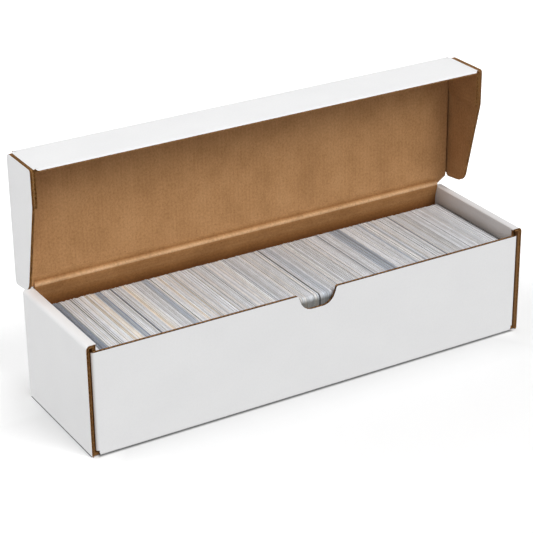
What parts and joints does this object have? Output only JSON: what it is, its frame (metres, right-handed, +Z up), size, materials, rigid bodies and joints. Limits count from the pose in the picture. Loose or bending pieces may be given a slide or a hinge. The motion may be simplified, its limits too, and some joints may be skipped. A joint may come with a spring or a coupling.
{
  "type": "trading card storage box",
  "caption": "Folding corrugated box for trading cards: hinged cap lid with tapered end flaps, rolled double ends, thumb notch in the front, and a row of standing cards that lift out.",
  "frame": {"origin": "on the table under the middle of the tray", "axes": "+X along the row of cards, +Y to the hinged back, +Z up"},
  "size_m": [0.3656, 0.1, 0.1873],
  "materials": {
    "white_board": "white clay-coated liner outside, brown kraft liner inside",
    "card_stock": "cut edges of stacked card"
  },
  "bodies": {
    "tray": {"bottom_panel": "white_board", "front_panel": "white_board", "back_panel": "white_board", "left_outer_wall": "white_board", "left_roll_top": "white_board", "left_inner_wall": "white_board", "front_left_tuck": "white_board", "back_left_tuck": "white_board", "right_outer_wall": "white_board", "right_roll_top": "white_board", "right_inner_wall": "white_board", "front_right_tuck": "white_board", "back_right_tuck": "white_board"},
    "lid": {"lid_panel": "white_board"},
    "flange": {"lid_flange": "white_board"},
    "left_flap": {"left_lid_flap": "white_board"},
    "left_ear": {"left_ear": "white_board"},
    "right_flap": {"right_lid_flap": "white_board"},
    "right_ear": {"right_ear": "white_board"},
    "card_group_1": {"card_group_1": "card_stock"},
    "card_group_2": {"card_group_2": "card_stock"},
    "card_group_3": {"card_group_3": "card_stock"},
    "card_group_4": {"card_group_4": "card_stock"},
    "card_group_5": {"card_group_5": "card_stock"},
    "card_group_6": {"card_group_6": "card_stock"},
    "card_group_7": {"card_group_7": "card_stock"},
    "card_group_8": {"card_group_8": "card_stock"}
  },
  "joints": [
    {"name": "lid_hinge", "type": "hinge", "parent": "tray", "child": "lid", "pos_m": [0, 0.049, 0.0857], "axis": [-1, 0, 0], "range_deg": [-90, 110]},
    {"name": "flange_fold", "type": "hinge", "parent": "lid", "child": "flange", "pos_m": [0, 0.049, 0.1863], "axis": [-1, 0, 0], "range_deg": [0, 90]},
    {"name": "left_flap_fold", "type": "hinge", "parent": "lid", "child": "left_flap", "pos_m": [-0.1818, 0.049, 0.137], "axis": [0, 0, -1], "range_deg": [0, 90]},
    {"name": "right_flap_fold", "type": "hinge", "parent": "lid", "child": "right_flap", "pos_m": [0.1818, 0.049, 0.137], "axis": [0, 0, 1], "range_deg": [0, 90]},
    {"name": "left_ear_fold", "type": "hinge", "parent": "flange", "child": "left_ear", "pos_m": [-0.1785, 0.028, 0.1852], "axis": [0, -1, 0], "range_deg": [0, 85]},
    {"name": "right_ear_fold", "type": "hinge", "parent": "flange", "child": "right_ear", "pos_m": [0.1785, 0.028, 0.1852], "axis": [0, 1, 0], "range_deg": [0, 85]},
    {"name": "card_group_1_lift", "type": "slide", "parent": "tray", "child": "card_group_1", "axis": [0, 0, 1], "range_m": [0, 0.08]},
    {"name": "card_group_2_lift", "type": "slide", "parent": "tray", "child": "card_group_2", "axis": [0, 0, 1], "range_m": [0, 0.08]},
    {"name": "card_group_3_lift", "type": "slide", "parent": "tray", "child": "card_group_3", "axis": [0, 0, 1], "range_m": [0, 0.08]},
    {"name": "card_group_4_lift", "type": "slide", "parent": "tray", "child": "card_group_4", "axis": [0, 0, 1], "range_m": [0, 0.08]},
    {"name": "card_group_5_lift", "type": "slide", "parent": "tray", "child": "card_group_5", "axis": [0, 0, 1], "range_m": [0, 0.08]},
    {"name": "card_group_6_lift", "type": "slide", "parent": "tray", "child": "card_group_6", "axis": [0, 0, 1], "range_m": [0, 0.08]},
    {"name": "card_group_7_lift", "type": "slide", "parent": "tray", "child": "card_group_7", "axis": [0, 0, 1], "range_m": [0, 0.08]},
    {"name": "card_group_8_lift", "type": "slide", "parent": "tray", "child": "card_group_8", "axis": [0, 0, 1], "range_m": [0, 0.08]}
  ]
}
